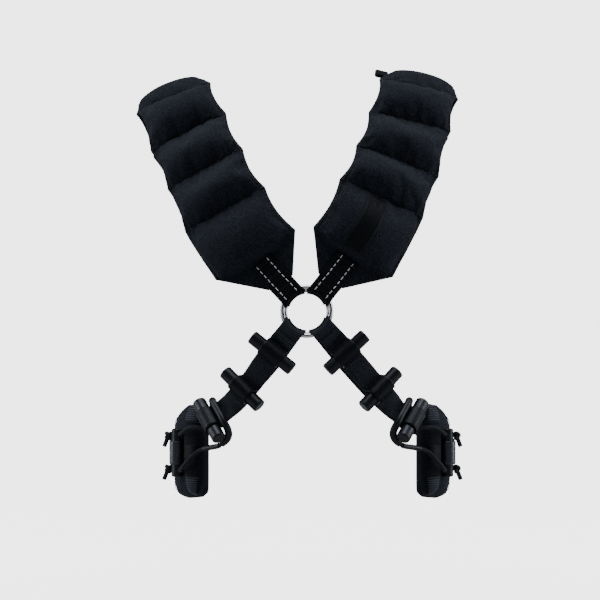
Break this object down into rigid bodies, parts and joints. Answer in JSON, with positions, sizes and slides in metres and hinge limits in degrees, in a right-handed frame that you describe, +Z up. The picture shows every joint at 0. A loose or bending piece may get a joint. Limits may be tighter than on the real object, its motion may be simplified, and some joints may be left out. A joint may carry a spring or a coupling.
{
  "type": "weighted chest harness",
  "caption": "Weighted shoulder and chest harness: quilted shot-filled pads on rings, webbing straps with rod toggles, elastic loops and trim weights at the waist",
  "frame": {"origin": "midway between the two shoulders, level with the sewn seams at the crests of the pads", "axes": "+X to the right as seen from the front, +Y towards the wearer's back, +Z up"},
  "size_m": [0.3609, 0.2539, 0.4709],
  "materials": {
    "pad_fabric": "matt black woven nylon, sewn into filled channels",
    "webbing": "black ribbed nylon webbing, woven across, with sewn bars",
    "steel": "polished round stainless wire, welded",
    "rod_plastic": "black turned acetal rod with rounded rims",
    "hose_rubber": "smooth black rubber hose, satin",
    "cord": "black braided sheath on an elastic cord",
    "shot": "loose lead shot in an inner bag",
    "label": "dark woven strip, plain"
  },
  "bodies": {
    "harness": {"left_pad_cover": "pad_fabric", "left_pad_backing": "pad_fabric", "left_shot_bag_1": "shot", "left_shot_bag_2": "shot", "left_shot_bag_3": "shot", "left_shot_bag_4": "shot", "left_shot_bag_5": "shot", "left_shot_bag_6": "shot", "left_shot_bag_7": "shot", "left_shot_bag_8": "shot", "left_front_tab": "webbing", "left_rear_tab": "webbing", "left_lower_strap": "webbing", "left_side_pad": "pad_fabric", "left_side_rod": "rod_plastic", "left_rear_strap": "webbing", "left_loop_upper_leg": "cord", "left_upper_knot": "cord", "left_loop_lower_leg": "cord", "left_lower_knot": "cord", "right_pad_cover": "pad_fabric", "right_pad_backing": "pad_fabric", "right_shot_bag_1": "shot", "right_shot_bag_2": "shot", "right_shot_bag_3": "shot", "right_shot_bag_4": "shot", "right_shot_bag_5": "shot", "right_shot_bag_6": "shot", "right_shot_bag_7": "shot", "right_shot_bag_8": "shot", "right_front_tab": "webbing", "right_rear_tab": "webbing", "right_lower_strap": "webbing", "right_side_pad": "pad_fabric", "right_side_rod": "rod_plastic", "right_rear_strap": "webbing", "right_loop_upper_leg": "cord", "right_upper_knot": "cord", "right_loop_lower_leg": "cord", "right_lower_knot": "cord", "right_pad_label": "label", "right_corner_loop": "webbing"},
    "front_ring": {"front_ring": "steel"},
    "rear_ring": {"rear_ring": "steel"},
    "left_toggle_1": {"left_toggle_1": "rod_plastic"},
    "left_toggle_2": {"left_toggle_2": "rod_plastic"},
    "left_toggle_3": {"left_toggle_3": "rod_plastic"},
    "left_grip": {"left_grip_hose": "hose_rubber", "left_loop_middle": "cord"},
    "left_trim_weight": {"left_trim_pouch": "pad_fabric", "left_trim_plate": "shot"},
    "right_toggle_1": {"right_toggle_1": "rod_plastic"},
    "right_toggle_2": {"right_toggle_2": "rod_plastic"},
    "right_toggle_3": {"right_toggle_3": "rod_plastic"},
    "right_grip": {"right_grip_hose": "hose_rubber", "right_loop_middle": "cord"},
    "right_trim_weight": {"right_trim_pouch": "pad_fabric", "right_trim_plate": "shot"}
  },
  "joints": [
    {"name": "front_ring_spin", "type": "hinge", "parent": "harness", "child": "front_ring", "pos_m": [0, -0.115, -0.251], "axis": [0, 1, 0], "continuous": true},
    {"name": "rear_ring_spin", "type": "hinge", "parent": "harness", "child": "rear_ring", "pos_m": [0.001, 0.118, -0.253], "axis": [0, 1, 0], "continuous": true},
    {"name": "left_toggle_1_spin", "type": "hinge", "parent": "harness", "child": "left_toggle_1", "pos_m": [-0.03636, -0.12057, -0.29439], "axis": [-0.7733, 0.1034, 0.6256], "continuous": true},
    {"name": "left_toggle_2_spin", "type": "hinge", "parent": "harness", "child": "left_toggle_2", "pos_m": [-0.06781, -0.11165, -0.3327], "axis": [-0.6822, 0.3136, 0.6605], "continuous": true},
    {"name": "left_toggle_3_spin", "type": "hinge", "parent": "harness", "child": "left_toggle_3", "pos_m": [-0.10329, -0.10127, -0.36602], "axis": [-0.4212, 0.6076, 0.6733], "continuous": true},
    {"name": "left_grip_pull", "type": "slide", "parent": "harness", "child": "left_grip", "axis": [0.6892, -0.2681, 0.6732], "range_m": [0, 0.005], "stiffness_N_per_m": 800, "springref_m": -0.004},
    {"name": "left_trim_weight_slide", "type": "slide", "parent": "harness", "child": "left_trim_weight", "axis": [0, 0, -1], "range_m": [0, 0.11]},
    {"name": "right_toggle_1_spin", "type": "hinge", "parent": "harness", "child": "right_toggle_1", "pos_m": [0.04152, -0.12058, -0.29429], "axis": [0.7281, 0.1009, 0.678], "continuous": true},
    {"name": "right_toggle_2_spin", "type": "hinge", "parent": "harness", "child": "right_toggle_2", "pos_m": [0.07775, -0.11167, -0.33263], "axis": [0.6656, 0.3089, 0.6793], "continuous": true},
    {"name": "right_toggle_3_spin", "type": "hinge", "parent": "harness", "child": "right_toggle_3", "pos_m": [0.11234, -0.10125, -0.36606], "axis": [0.4249, 0.61, 0.6689], "continuous": true},
    {"name": "right_grip_pull", "type": "slide", "parent": "harness", "child": "right_grip", "axis": [-0.6814, -0.2708, 0.6799], "range_m": [0, 0.005], "stiffness_N_per_m": 800, "springref_m": -0.004},
    {"name": "right_trim_weight_slide", "type": "slide", "parent": "harness", "child": "right_trim_weight", "axis": [0, 0, -1], "range_m": [0, 0.11]}
  ]
}
